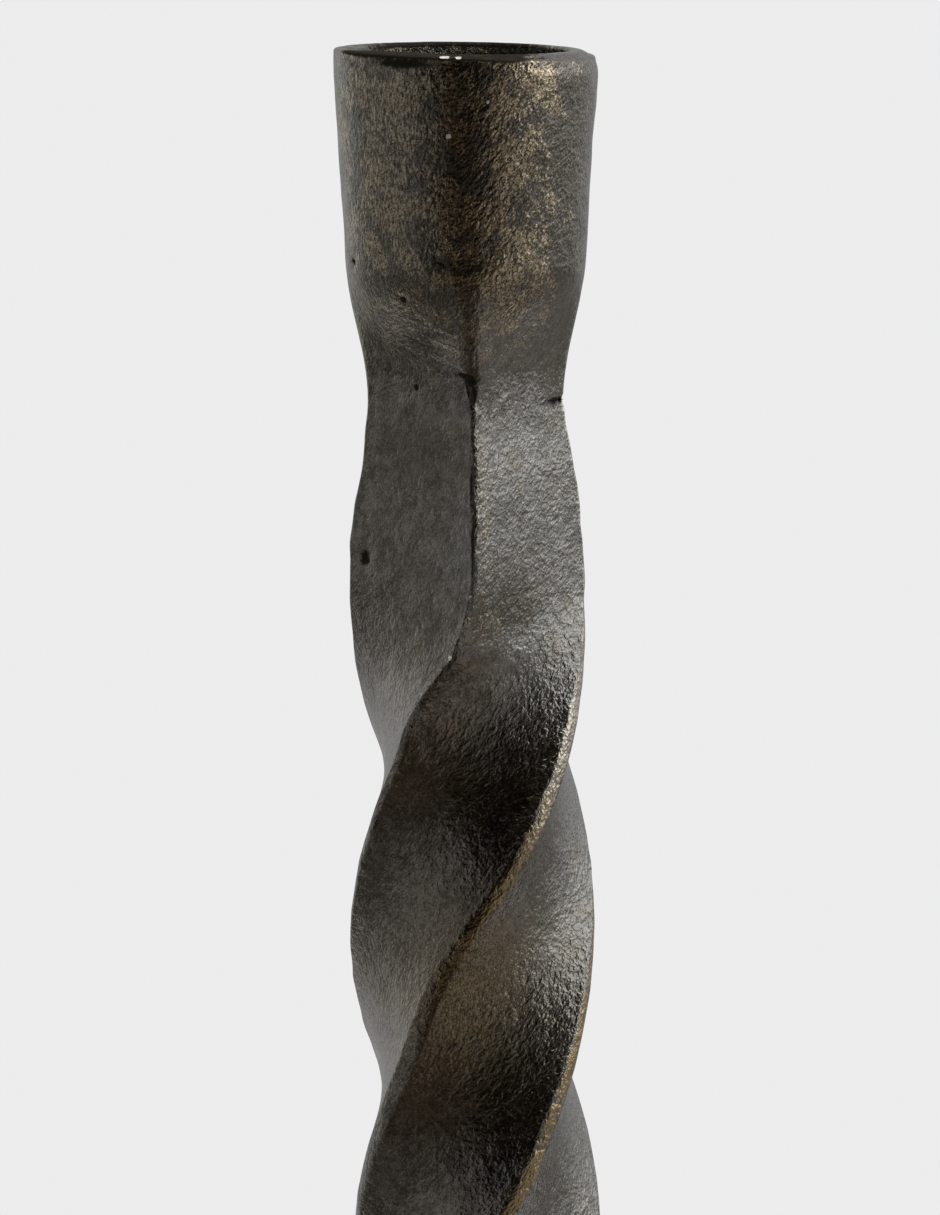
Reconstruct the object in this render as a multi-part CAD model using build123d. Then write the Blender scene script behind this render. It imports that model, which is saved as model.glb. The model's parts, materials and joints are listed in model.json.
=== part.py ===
from build123d import *
import math
import os

# A cast candle holder for one taper candle: a round cup on a twisted square stem and a round foot.
# Millimetres, +Z up. The origin is the middle of the felt's underside. At both of its ends the stem
# has its corners on the X and Y axes.

# Candle socket
candle_diameter = 22.0  # common taper candle
candle_clearance = 0.25  # gap all round the candle
socket_depth = 25.0  # from the rim's crest to the socket floor

# Cup
cup_height = 39.5  # from the joint with the stem to the rim's crest
rim_diameter = 29.5
shoulder_diameter = 27.0  # where the cup's straight taper ends and it draws in to the neck
shoulder_height = 15.5  # above the joint
neck_flare = 0.02  # growth of the cup's width for each millimetre just above the joint
lip_height = 3.0  # turned lip at the top of the cup
rim_fall = 0.15  # drop of the rim from its crest to its outer edge
rim_outer_round = 0.8
rim_inner_round = 0.4

# Stem
neck_across_corners = 22.1  # at both joints
stem_across_corners = 25.8  # beyond the swells
belly = 2.7  # what the width gains from there to the middle
corner_round = 2.2
swell_onset = 3.0  # length over which the swell sets in at each joint
swell_length = 16.5  # from there to the full width
straight_end = 22.5  # length without twist at each end
quarter_turn_length = 37.5
quarter_turns = 5
twist_onset = 1.6  # length over which the twist sets in
section_step = 5.0  # spacing of the sections that shape the stem

# Foot
foot_diameter = 100.0
foot_height = 26.5  # of the metal, from the felt to the joint with the stem
collar_height = 9.0  # from the joint down to where the square has become round
foot_edge_round = 4.0
foot_side_height = 2.0  # upright edge below the rounding
foot_land = 7.0  # width of the ring under the foot that the felt is glued to
recess_depth = 3.0
bolt_pocket_depth = 10.0  # from the foot's underside to the seat of the washers
wrench_room = 2.0  # beside the plain washer

# Felt
felt_thickness = 1.5
felt_inset = 1.5  # from the foot's edge

# Square tenons that key the stem into the cup and the foot
tenon_width = 11.0
tenon_length = 3.0
tenon_corner_round = 1.0
tenon_clearance = 0.1  # each side
tenon_gap = 0.2  # beyond the tenon's end

# Screws, with plain shanks in place of threads
thread_diameter = 6.0
thread_clearance = 0.05  # between shank and tapped hole
engagement = 15.0  # length of screw held in the stem
hole_runout = 3.0  # tapped hole beyond the screw's tip
drill_point_angle = 118.0
pass_hole_clearance = 0.3  # round the shank where it passes through the cup and the foot
tip_chamfer = 0.8
screw_head_diameter = 11.6
screw_head_angle = 90.0
screw_head_land = 0.4  # straight edge of the countersunk head
screw_seat_clearance = 0.05
screw_drive_across_flats = 4.0
screw_drive_depth = 2.0
bolt_head_across_flats = 10.0
bolt_head_height = 4.0

# Washers under the bolt's head
plain_washer_diameter = 18.0
plain_washer_thickness = 1.6
spring_washer_diameter = 11.5
spring_washer_thickness = 1.6
washer_clearance = 0.2  # between a washer's hole and the shank
spring_washer_split = 1.2

# Number of sections in each change from square to round
blend_sections = 7

# Heights and sizes that follow
stem_length = 2 * straight_end + quarter_turns * quarter_turn_length
foot_bottom = felt_thickness
foot_joint = foot_bottom + foot_height
cup_joint = foot_joint + stem_length
crest = cup_joint + cup_height
socket_floor = crest - socket_depth
socket_radius = candle_diameter / 2 + candle_clearance
rim_radius = rim_diameter / 2
foot_radius = foot_diameter / 2
flare_height = foot_height - foot_edge_round - foot_side_height
shank_radius = thread_diameter / 2
pass_hole_radius = shank_radius + pass_hole_clearance
washer_seat = foot_bottom + bolt_pocket_depth
pocket_radius = plain_washer_diameter / 2 + wrench_room


def smooth_step(share):
    # Rises from 0 to 1, flat at both ends
    return share * share * (3 - 2 * share)


def corner_section(across_corners, roundness):
    # A square with rounded corners at roundness 0, a circle at 1, with the same width across corners
    half_width = across_corners / 2
    centre = (half_width - corner_round) / math.sqrt(2)
    flat = centre + corner_round
    tip_angle = 45 - math.degrees(math.atan2(centre, flat))
    edge_reach = math.hypot(flat, centre)
    flat_reach = flat + (half_width - flat) * roundness
    joint_reach = edge_reach + (half_width - edge_reach) * roundness
    edges = []
    for angle in (0, 90, 180, 270):
        start = Vector(joint_reach, 0).rotate(Axis.Z, angle - tip_angle)
        tip = Vector(half_width, 0).rotate(Axis.Z, angle)
        end = Vector(joint_reach, 0).rotate(Axis.Z, angle + tip_angle)
        middle = Vector(flat_reach, 0).rotate(Axis.Z, angle + 45)
        after = Vector(joint_reach, 0).rotate(Axis.Z, angle + 90 - tip_angle)
        edges.append(ThreePointArc(start, tip, end))
        edges.append(ThreePointArc(end, middle, after) if roundness > 0 else Line(end, after))
    return make_face(edges)


def ring(inner_radius, outer_radius, bottom, top):
    return Pos(0, 0, bottom) * extrude(Circle(outer_radius) - Circle(inner_radius), top - bottom)


def rod(radius, bottom, top):
    return Pos(0, 0, bottom) * extrude(Circle(radius), top - bottom)


def square_key(clearance, bottom, top):
    # The tenon, or with a clearance its pocket, with its flats in line with the stem's flats
    width = tenon_width + 2 * clearance
    outline = RectangleRounded(width, width, tenon_corner_round + clearance, rotation=45)
    return Pos(0, 0, bottom) * extrude(outline, top - bottom)


def tapped_hole(mouth, direction):
    # A drilled hole from a tenon's end into the stem, with the drill's pointed bottom
    depth = engagement + hole_runout
    point = shank_radius / math.tan(math.radians(drill_point_angle / 2))
    outline = Polyline((0, 0), (shank_radius, 0), (shank_radius, depth), (0, depth + point), close=True)
    hole = revolve(make_face(Plane.XZ * outline), Axis.Z)
    return Pos(0, 0, mouth) * (hole if direction > 0 else Rot(180, 0, 0) * hole)


def cup_width(height):
    # Below the shoulder: a cubic curve from the neck, which meets the taper above without a kink
    taper = (rim_diameter - shoulder_diameter) / (cup_height - lip_height - shoulder_height)
    share = height / shoulder_height
    bend = share * (1 - share) * shoulder_height
    widening = neck_across_corners + (shoulder_diameter - neck_across_corners) * smooth_step(share)
    return widening + bend * (neck_flare * (1 - share) - taper * share)


def candle_cup():
    lip_base = crest - lip_height
    shoulder = cup_joint + shoulder_height
    sections = []
    for step in range(blend_sections):
        share = step / (blend_sections - 1)
        height = share * shoulder_height
        section = corner_section(cup_width(height), smooth_step(share))
        sections.append(Pos(0, 0, cup_joint + height) * section)
    drawn_in = loft(sections)
    wall = Polyline(
        (0, shoulder),
        (shoulder_diameter / 2, shoulder),
        (rim_radius, lip_base),
        (0, lip_base),
        close=True,
    )
    inner_top = (socket_radius, crest - rim_inner_round)
    outer_top = (rim_radius, crest - rim_fall)
    lip_edges = [
        CenterArc((socket_radius + rim_inner_round, crest - rim_inner_round), rim_inner_round, 90, 90),
        Polyline(inner_top, (socket_radius, lip_base), (rim_radius, lip_base), outer_top),
        Line(outer_top, (socket_radius + rim_inner_round, crest)),
    ]
    lip = make_face(lip_edges)
    lip = fillet(lip.vertices().group_by(Axis.X)[-1].sort_by(Axis.Y)[-1], rim_outer_round)
    cup = drawn_in + revolve(Plane.XZ * make_face(wall), Axis.Z) + revolve(Plane.XZ * lip, Axis.Z)
    cup -= rod(socket_radius, socket_floor, crest)
    cup -= square_key(tenon_clearance, cup_joint, cup_joint + tenon_length + tenon_gap)
    cup -= rod(pass_hole_radius, cup_joint, socket_floor)
    return cup - countersink(screw_seat_clearance)


def countersink(clearance):
    # The countersunk head's space, with its flat top level with the socket floor
    head_radius = screw_head_diameter / 2 + clearance
    slope = math.tan(math.radians(screw_head_angle / 2))
    cone_base = socket_floor - screw_head_land - (head_radius - shank_radius) / slope
    outline = Polyline(
        (0, socket_floor),
        (head_radius, socket_floor),
        (head_radius, socket_floor - screw_head_land),
        (shank_radius, cone_base),
        (0, cone_base),
        close=True,
    )
    return revolve(Plane.XZ * make_face(outline), Axis.Z)


def cup_screw():
    tip = cup_joint + tenon_length - engagement
    shank = rod(shank_radius - thread_clearance, tip, socket_floor)
    shank = chamfer(shank.edges().group_by(Axis.Z)[0], tip_chamfer)
    drive_radius = screw_drive_across_flats / 2
    drive = extrude(RegularPolygon(drive_radius, 6, major_radius=False), screw_drive_depth)
    return shank + countersink(0) - Pos(0, 0, socket_floor - screw_drive_depth) * drive


def stem_width(depth):
    # Swells softly from the neck at each joint, and has a slight belly along its length
    from_joint = min(depth, stem_length - depth)
    reach = min((math.hypot(from_joint, swell_onset) - swell_onset) / swell_length, 1)
    swell = (stem_across_corners - neck_across_corners) * math.sin(math.pi / 2 * reach)
    return neck_across_corners + swell + belly * math.sin(math.pi * depth / stem_length)


def stem_turn(depth):
    # Right-handed: no twist at the ends, a steady twist between, and a soft change from one to the other
    begun = twist_onset * math.log1p(math.exp((depth - straight_end) / twist_onset))
    ended = twist_onset * math.log1p(math.exp((depth - stem_length + straight_end) / twist_onset))
    return -90 / quarter_turn_length * (begun - ended)


def twisted_stem():
    steps = math.ceil(stem_length / section_step)
    sections = []
    for step in range(steps + 1):
        depth = stem_length * (1 - step / steps)
        section = Rot(0, 0, stem_turn(depth)) * corner_section(stem_width(depth), 0)
        sections.append(Pos(0, 0, cup_joint - depth) * section)
    stem = loft(sections)
    stem += square_key(0, cup_joint, cup_joint + tenon_length)
    stem += square_key(0, foot_joint - tenon_length, foot_joint)
    stem -= tapped_hole(cup_joint + tenon_length, -1)
    return stem - tapped_hole(foot_joint - tenon_length, 1)


def foot():
    # The outline from the joint down is a quarter of an ellipse, square at the joint and soon round
    flare_radius = foot_radius - foot_edge_round
    flare_reach = flare_radius - neck_across_corners / 2
    sections = []
    for step in range(blend_sections):
        share = 1 - step / (blend_sections - 1)
        depth = share * collar_height
        radius = flare_radius - flare_reach * math.sqrt(1 - (depth / flare_height) ** 2)
        sections.append(Pos(0, 0, foot_joint - depth) * corner_section(2 * radius, smooth_step(share)))
    collar_angle = math.degrees(math.asin(collar_height / flare_height))
    collar_base = foot_joint - collar_height
    flare_base = foot_joint - flare_height
    flare_centre = (flare_radius, foot_joint)
    flare = EllipticalCenterArc(
        flare_centre, flare_reach, flare_height, start_angle=180 + collar_angle, arc_size=90 - collar_angle
    )
    edge = CenterArc((flare_radius, flare_base - foot_edge_round), foot_edge_round, 0, 90)
    side = Line(edge @ 0, (foot_radius, foot_bottom))
    base = Polyline((foot_radius, foot_bottom), (0, foot_bottom), (0, collar_base), flare @ 0)
    body = revolve(Plane.XZ * make_face([flare, edge, side, base]), Axis.Z)
    body += loft(sections)
    body -= rod(foot_radius - foot_land, foot_bottom, foot_bottom + recess_depth)
    body -= rod(pocket_radius, foot_bottom, washer_seat)
    body -= rod(pass_hole_radius, washer_seat, foot_joint)
    return body - square_key(tenon_clearance, foot_joint - tenon_length - tenon_gap, foot_joint)


def foot_bolt():
    head_top = washer_seat - plain_washer_thickness - spring_washer_thickness
    tip = foot_joint - tenon_length + engagement
    shank = rod(shank_radius - thread_clearance, head_top, tip)
    shank = chamfer(shank.edges().group_by(Axis.Z)[-1], tip_chamfer)
    hexagon = RegularPolygon(bolt_head_across_flats / 2, 6, major_radius=False)
    return shank + Pos(0, 0, head_top - bolt_head_height) * extrude(hexagon, bolt_head_height)


def plain_washer():
    bottom = washer_seat - plain_washer_thickness
    return ring(shank_radius + washer_clearance, plain_washer_diameter / 2, bottom, washer_seat)


def spring_washer():
    top = washer_seat - plain_washer_thickness
    bottom = top - spring_washer_thickness
    outer_radius = spring_washer_diameter / 2
    washer = ring(shank_radius + washer_clearance, outer_radius, bottom, top)
    split = Rectangle(outer_radius, spring_washer_split, align=(Align.MIN, Align.CENTER))
    return washer - Pos(0, 0, bottom) * extrude(split, spring_washer_thickness)


def felt_pad():
    return rod(foot_radius - felt_inset, 0, felt_thickness)


pieces = [
    candle_cup,
    cup_screw,
    twisted_stem,
    foot,
    foot_bolt,
    plain_washer,
    spring_washer,
    felt_pad,
]

os.makedirs("parts", exist_ok=True)
for piece in pieces:
    export_step(piece(), f"parts/{piece.__name__}.step")
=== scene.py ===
import json
import math
import bpy
import numpy as np
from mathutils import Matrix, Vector


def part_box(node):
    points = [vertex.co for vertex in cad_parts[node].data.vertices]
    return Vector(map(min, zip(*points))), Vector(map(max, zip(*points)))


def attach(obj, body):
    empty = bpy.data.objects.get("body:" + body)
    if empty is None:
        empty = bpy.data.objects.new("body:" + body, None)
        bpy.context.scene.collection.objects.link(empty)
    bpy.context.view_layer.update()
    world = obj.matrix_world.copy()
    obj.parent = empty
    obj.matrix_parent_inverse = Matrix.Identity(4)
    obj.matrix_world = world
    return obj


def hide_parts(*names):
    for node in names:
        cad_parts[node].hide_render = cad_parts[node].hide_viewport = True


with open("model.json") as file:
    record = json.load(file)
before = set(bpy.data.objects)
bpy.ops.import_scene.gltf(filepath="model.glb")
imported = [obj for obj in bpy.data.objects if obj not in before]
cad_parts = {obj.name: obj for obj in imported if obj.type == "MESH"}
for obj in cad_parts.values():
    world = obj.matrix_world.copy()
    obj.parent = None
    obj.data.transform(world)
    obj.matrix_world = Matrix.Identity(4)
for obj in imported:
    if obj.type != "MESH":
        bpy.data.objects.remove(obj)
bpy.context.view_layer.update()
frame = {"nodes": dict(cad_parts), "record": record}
mm = 0.001  # settings are in millimetres, the scene is in metres

# heights and radii that come from the CAD model
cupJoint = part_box("candle_cup")[0].z / mm
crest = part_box("candle_cup")[1].z / mm
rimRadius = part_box("candle_cup")[1].x / mm
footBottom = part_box("foot")[0].z / mm
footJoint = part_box("foot")[1].z / mm
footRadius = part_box("foot")[1].x / mm
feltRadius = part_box("felt_pad")[1].x / mm
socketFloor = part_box("cup_screw")[1].z / mm
stemLength = cupJoint - footJoint
socketRadius = frame["record"]["mounts"][0]["dims"]["r_mm"]
print("frame loaded, crest at", round(crest, 2), "mm")

# camera at the photo's viewing angle
shot = dict(aim=(0.5, 0.0, 236.8), distance=700.0, elevation=8.46, focalPixels=6181.0, frameWidth=940)
rise = math.radians(shot["elevation"])
cameraData = bpy.data.cameras.new("camera")
cameraData.sensor_fit = "HORIZONTAL"
cameraData.sensor_width = 36.0
cameraData.lens = 36.0 * shot["focalPixels"] / shot["frameWidth"]
cameraData.clip_start = 0.01
camera = bpy.data.objects.new("camera", cameraData)
bpy.context.collection.objects.link(camera)
toCamera = Vector((0, -math.cos(rise), math.sin(rise)))
camera.location = Vector(shot["aim"]) * mm + toCamera * shot["distance"] * mm
camera.rotation_euler = toCamera.to_track_quat("Z", "Y").to_euler()
bpy.context.scene.camera = camera
bpy.context.scene.view_settings.view_transform = "Standard"
print("camera set")


# a socket that does sums: each operator adds a Math node
class Wire:
    def __init__(self, tree, socket):
        self.tree = tree
        self.socket = socket

    def sum(self, operation, first, second):
        return self.tree.add("ShaderNodeMath", dict(operation=operation), {0: first, 1: second})

    def __add__(self, other):
        return self.sum("ADD", self, other)

    def __sub__(self, other):
        return self.sum("SUBTRACT", self, other)

    def __rsub__(self, other):
        return self.sum("SUBTRACT", other, self)

    def __mul__(self, other):
        return self.sum("MULTIPLY", self, other)

    def __truediv__(self, other):
        return self.sum("DIVIDE", self, other)

    def __pow__(self, other):
        return self.sum("POWER", self, other)

    __radd__ = __add__
    __rmul__ = __mul__


class Nodes:
    def __init__(self, owner):
        owner.use_nodes = True
        self.tree = owner.node_tree
        self.tree.nodes.clear()

    # any node: its type, its settings, then the values or links of its sockets
    def add(self, kind, settings=None, sockets=None, out=0):
        node = self.tree.nodes.new(kind)
        for key, value in (settings or {}).items():
            setattr(node, key, value)
        for key, value in (sockets or {}).items():
            if isinstance(value, Wire):
                self.tree.links.new(value.socket, node.inputs[key])
            else:
                node.inputs[key].default_value = value
        return Wire(self, node.outputs[out]) if node.outputs else None

    # rises softly from 0 at low to 1 at high
    def band(self, value, low, high):
        return self.add("ShaderNodeMapRange", dict(interpolation_type="SMOOTHSTEP"), {0: value, 1: low, 2: high})

    def noise(self, place, size, detail=3.0, rough=0.55, warp=0.0):
        sockets = {"Vector": place, "Scale": 1 / (size * mm), "Detail": detail}
        return self.add("ShaderNodeTexNoise", None, sockets | {"Roughness": rough, "Distortion": warp})

    # longer along its turned axes by the given factors
    def stretch(self, place, scale, turn=(0, 0, 0)):
        sockets = {"Vector": place, "Rotation": turn, "Scale": scale}
        return self.add("ShaderNodeMapping", dict(vector_type="TEXTURE"), sockets)

    def paint(self, share, first, second):
        return self.add("ShaderNodeMix", dict(data_type="RGBA"), {0: share, 6: first, 7: second}, 2)

    def attribute(self, name):
        return self.add("ShaderNodeAttribute", dict(attribute_name=name), None, "Fac")

    def surface(self, shader):
        self.add("ShaderNodeOutputMaterial", None, {"Surface": shader})


# studio: a pale surround behind, a soft light high at the right, dim and warm towards the camera.
# A pair of numbers is a band of direction: the light is none at the first and full at the second
studio = dict(
    backdrop=0.843, floor=0.8, white=(1.0, 1.0, 0.99, 1), warm=(1.0, 0.77, 0.53, 1), nadir=0.02,
    behind=0.88, behindAway=(0.0, 1.0), behindDip=0.55, behindDipAway=(0.8, 0.97),
    lowRight=0.9, lowRightSide=(0.05, 0.5), lowRightUp=(0.05, -0.35),
    lowLeft=0.5, lowLeftSide=(-0.1, -0.5), lowLeftUp=(0.0, -0.35), raisedUp=(0.0, 0.45),
    light=1.6, lightSide=(0.8, 0.86), lightLow=0.32, lightLowUp=(-0.22, -0.1), lightHigh=0.78, lightHighUp=(0.0, 0.3),
    fill=0.3, fillSide=(0.1, 0.8), fillLean=0.3, fillUp=(-0.9, -0.5), fillLoss=0.5, fillAway=(0.0, 0.7), rightLoss=0.4,
    left=0.3, leftSide=(-0.3, -0.85), leftLean=0.35, leftUp=(-0.5, -0.1), leftHigh=0.1, leftHighUp=(0.05, 0.4),
    leftBase=0.05, bounce=0.1, bounceSide=(-0.05, -0.5), bounceUp=(-0.1, -0.3), top=2.2, topUp=(0.8, 0.98),
    front=0.02, frontLow=0.1, frontLowUp=(0.05, -0.5), frontHigh=0.12, frontHighUp=(0.4, 0.75), frontLoss=0.7,
)
world = bpy.data.worlds.new("studio")
bpy.context.scene.world = world
tree = Nodes(world)
direction = tree.add("ShaderNodeTexCoord", None, None, "Generated")
split = tree.add("ShaderNodeSeparateXYZ", None, {0: direction}).socket.node
across, away, up = (Wire(tree, output) for output in split.outputs)


def inBand(value, name):
    return tree.band(value, *studio[name])


ground = (across * across + away * away) ** 0.5 + studio["nadir"]
toRight = across / ground
lowRight = inBand(across, "lowRightSide") * inBand(up, "lowRightUp") * studio["lowRight"]
lowLeft = inBand(across, "lowLeftSide") * inBand(up, "lowLeftUp") * studio["lowLeft"]
behind = inBand(away, "behindAway") * (1 - lowRight - lowLeft)
behind = behind * (1 - inBand(away, "behindDipAway") * studio["behindDip"])
raised = inBand(up, "raisedUp")
fill = inBand(toRight - raised * studio["fillLean"], "fillSide") * inBand(up, "fillUp")
fill = fill * (1 - inBand(away, "fillAway") * studio["fillLoss"])
lightLevel = inBand(up, "lightLowUp") * studio["lightLow"] + inBand(up, "lightHighUp") * studio["lightHigh"]
light = inBand(toRight, "lightSide") * lightLevel
right = (light * studio["light"] + fill * studio["fill"]) * (1 - behind * studio["rightLoss"])
leftLevel = inBand(up, "leftUp") * studio["left"] + inBand(up, "leftHighUp") * studio["leftHigh"] + studio["leftBase"]
toLeft = inBand(across, "bounceSide")
bounce = toLeft * inBand(up, "bounceUp") * studio["bounce"]
left = (inBand(toRight + raised * studio["leftLean"], "leftSide") * leftLevel + bounce) * (1 - behind)
lamps = right + left + behind * studio["behind"] + inBand(up, "topUp") * studio["top"]
front = inBand(up, "frontLowUp") * studio["frontLow"] + inBand(up, "frontHighUp") * studio["frontHigh"]
front = (front + studio["front"]) * (1 - behind) * (1 - toLeft * studio["frontLoss"])
rays = tree.add("ShaderNodeLightPath").socket.node.outputs
cameraRay, clearRay = (Wire(tree, rays[f"Is {kind} Ray"]) for kind in ("Camera", "Transmission"))
pale = [studio["backdrop"]] * 3 + [1]
surround = tree.add("ShaderNodeBackground", None, {"Color": pale})
soft = tree.add("ShaderNodeBackground", None, {"Color": studio["white"], "Strength": lamps})
dim = tree.add("ShaderNodeBackground", None, {"Color": studio["warm"], "Strength": front})
lit = tree.add("ShaderNodeAddShader", None, {0: soft, 1: dim})
mixed = tree.add("ShaderNodeMixShader", None, {0: cameraRay + clearRay, 1: lit, 2: surround})
tree.add("ShaderNodeOutputWorld", None, {"Surface": mixed})

# pale floor that fades into the backdrop and keeps the shadow
sheet = dict(centre=(0.0, 0.1), half=0.42, drop=0.0003, fade=(0.17, 0.4), mirror=(-0.05, 0.15))
cx, cy = sheet["centre"]
h = sheet["half"]
floorMesh = bpy.data.meshes.new("floor")
floorCorners = [(cx + i * h, cy + j * h, -sheet["drop"]) for i, j in ((-1, -1), (1, -1), (1, 1), (-1, 1))]
floorMesh.from_pydata(floorCorners, [], [(0, 1, 2, 3)])
floor = bpy.data.objects.new("floor", floorMesh)
bpy.context.collection.objects.link(floor)
floorPaper = bpy.data.materials.new("floorPaper")
floorMesh.materials.append(floorPaper)
tree = Nodes(floorPaper)
place = tree.add("ShaderNodeTexCoord", None, None, "Object")
offset = tree.add("ShaderNodeVectorMath", dict(operation="SUBTRACT"), {0: place, 1: (cx, cy, 0)})
distance = tree.add("ShaderNodeVectorMath", dict(operation="LENGTH"), {0: offset}, "Value")
depth = Wire(tree, tree.add("ShaderNodeSeparateXYZ", None, {0: place}).socket.node.outputs["Y"])
glossyRay = tree.add("ShaderNodeLightPath", None, None, "Is Glossy Ray")
mirrored = tree.band(depth, *sheet["mirror"])  # reflections show only its far part
there = (1 - tree.band(distance, *sheet["fade"])) * (1 - glossyRay * (1 - mirrored))
paper = tree.add("ShaderNodeBsdfDiffuse", None, {"Color": [studio["floor"]] * 3 + [1]})
clear = tree.add("ShaderNodeBsdfTransparent")
tree.surface(tree.add("ShaderNodeMixShader", None, {0: there, 1: clear, 2: paper}))
print("studio and floor ready")


# smooth noise, -1 to 1: random values on a lattice of the given size, blended between its corners
def castNoise(points, size, seed):
    tableSize = 4096
    primes = 73856093, 19349663, 83492791  # they scatter the corners over the table
    table = np.random.default_rng(seed).uniform(-1, 1, tableSize)
    cell = np.floor(points / size).astype(np.int64)
    share = points / size - cell
    share = share * share * (3 - 2 * share)
    total = np.zeros(points.shape[:-1])
    for corner in np.ndindex(2, 2, 2):
        spot = cell + np.array(corner)
        pick = (spot[..., 0] * primes[0] ^ spot[..., 1] * primes[1] ^ spot[..., 2] * primes[2]) & (tableSize - 1)
        total += np.prod(np.where(np.array(corner) == 1, share, 1 - share), axis=-1) * table[pick]
    return total


# rises softly from 0 at low to 1 at high
def softStep(low, high, value):
    share = np.clip((value - low) / (high - low), 0, 1)
    return share * share * (3 - 2 * share)


# points round a section: along each corner's cut, then along the flat to the next corner
def ringPlan(perCorner, perFlat):
    share = np.concatenate([np.linspace(0, 1, perCorner), np.ones(perFlat)])
    along = np.concatenate([np.zeros(perCorner), np.linspace(0, 1, perFlat + 2)[1:-1]])
    return np.repeat(np.arange(4), perCorner + perFlat), np.tile(share, 4), np.tile(along, 4)


# the same cut on both sides of all four corners
def evenCuts(corner):
    return np.broadcast_to(corner[:, None, None], (len(corner), 4, 2))


roundCorner = 0.7071  # a conic of this weight is an arc of a circle


# rings of a square with cut corners, drawn towards a circle by the row's roundness. A corner is a conic from the
# face before it to the face after it: its two cuts say where it leaves them, its weight makes it flat (near 0) or
# round. Each row also has a height, a half width across corners, its four corner angles and a sideways shift
def sectionRings(plan, height, half, cuts, roundness, angles, shift, weight=roundCorner, fullness=0.0):
    which, share, along = plan
    count = len(height)
    weight, fullness = (np.broadcast_to(value, (count,))[:, None] for value in (weight, fullness))
    tips = np.radians(angles)
    reach = half[:, None] + roundCorner * cuts.mean(-1) / (1 + weight)
    sharp = np.stack([reach * np.cos(tips), reach * np.sin(tips)], -1)
    side = np.roll(sharp, -1, 1) - sharp
    side /= np.linalg.norm(side, axis=-1, keepdims=True)
    start = sharp - cuts[..., :1] * np.roll(side, 1, 1)
    end = sharp + cuts[..., 1:] * side
    first, last = ((1 - share) ** 2)[None, :, None], (share**2)[None, :, None]
    middle = (2 * weight * share * (1 - share))[..., None]
    square = (first * start[:, which] + middle * sharp[:, which] + last * end[:, which]) / (first + middle + last)
    square += along[None, :, None] * (start[:, (which + 1) % 4] - end[:, which])
    swollen = 1.5 * fullness * (along - along**8) / half[:, None]  # faces swell towards the next corner
    square *= (1 + swollen)[..., None]
    circle = square * (half[:, None] / np.linalg.norm(square, axis=-1))[..., None]
    flat = square + (circle - square) * roundness[:, None, None]
    flat[..., 0] += shift[:, None]
    return np.concatenate([flat, np.broadcast_to(height[:, None, None], flat.shape[:2] + (1,))], -1)


# direction out of the solid: the ring's direction crossed with the direction from row to row,
# kept level on the level rows
def outward(points, closed, level):
    around = np.roll(points, -1, 1) - np.roll(points, 1, 1)
    onward = np.roll(points, -1, 0) - np.roll(points, 1, 0) if closed else np.gradient(points, axis=0)
    upright = np.broadcast_to((0.0, 0.0, 1.0), points.shape)
    normal = np.cross(around, np.where(np.broadcast_to(level, len(points))[:, None, None], upright, onward))
    return normal / (np.linalg.norm(normal, axis=-1, keepdims=True) + 1e-12)


# nearness to the corner lines, 1 on them, for wear along the edges
def ridgeShare(points, half, roundness, angles, shift, width):
    tips = np.radians(angles)[:, None, :]
    dx = points[..., 0, None] - shift[:, None, None] - half[:, None, None] * np.cos(tips)
    dy = points[..., 1, None] - half[:, None, None] * np.sin(tips)
    near = np.sqrt(dx * dx + dy * dy).min(-1)
    return np.exp(-((near / np.broadcast_to(width, len(points))[:, None]) ** 4)) * (1 - roundness)[:, None]


# puts the rings into a mesh: quads between rows, and the last row joined to the first or a fan to a point at both ends
def ringMesh(name, points, poles, marks):
    rows, count = points.shape[:2]
    index = np.arange(rows * count).reshape(rows, count)
    ends = index if poles else np.vstack([index, index[:1]])
    low, high = ends[:-1], ends[1:]
    faces = np.stack([low, np.roll(low, -1, 1), np.roll(high, -1, 1), high], -1).reshape(-1, 4).tolist()
    corners = points.reshape(-1, 3)
    if poles:
        first, last = index[0], index[-1]
        faces += np.stack([np.full(count, rows * count), np.roll(first, -1), first], -1).tolist()
        faces += np.stack([last, np.roll(last, -1), np.full(count, rows * count + 1)], -1).tolist()
        corners = np.vstack([corners, poles])
    mesh = bpy.data.meshes.new(name)
    mesh.from_pydata((corners * mm).tolist(), [], faces)
    mesh.shade_smooth()
    for key, values in marks.items():
        layer = mesh.attributes.new(key, "FLOAT", "POINT")
        padded = np.concatenate([np.ravel(values), np.zeros(len(corners) - values.size)])
        layer.data.foreach_set("value", padded.astype(np.float32))
    mesh.update()
    piece = bpy.data.objects.new(name, mesh)
    bpy.context.collection.objects.link(piece)
    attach(piece, "root")
    return piece


# uneven skin of the casting: lumps, waves and orange peel, height along the normal
skin = dict(lump=(9.0, 0.09), wave=(3.3, 0.045), peel=(1.5, 0.022))


def castSkin(points):
    return sum(height * castNoise(points, size, seed) for seed, (size, height) in enumerate(skin.values()))


# a bell curve round a place on the surface, given by its angle and height, with its own width and height
def bell(points, angle, z, width, tall):
    turn = math.radians(angle)
    side = points[..., 0] * math.cos(turn) + points[..., 1] * math.sin(turn)
    off = points[..., 1] * math.cos(turn) - points[..., 0] * math.sin(turn)
    return np.exp(-((off / width) ** 2) - ((points[..., 2] - z) / tall) ** 2) * (side > 0)


# flaws of the casting: each row gives angle, height, width, tallness, how deep it sinks and how dark its stain is
def flaws(points, rows):
    sunk = np.zeros(points.shape[:-1])
    stain = np.zeros(points.shape[:-1])
    for angle, z, width, tall, deep, dark in rows:
        spot = bell(points, angle, z, width, tall)
        sunk -= deep * spot
        stain = np.maximum(stain, dark * spot)
    return sunk, stain


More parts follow.
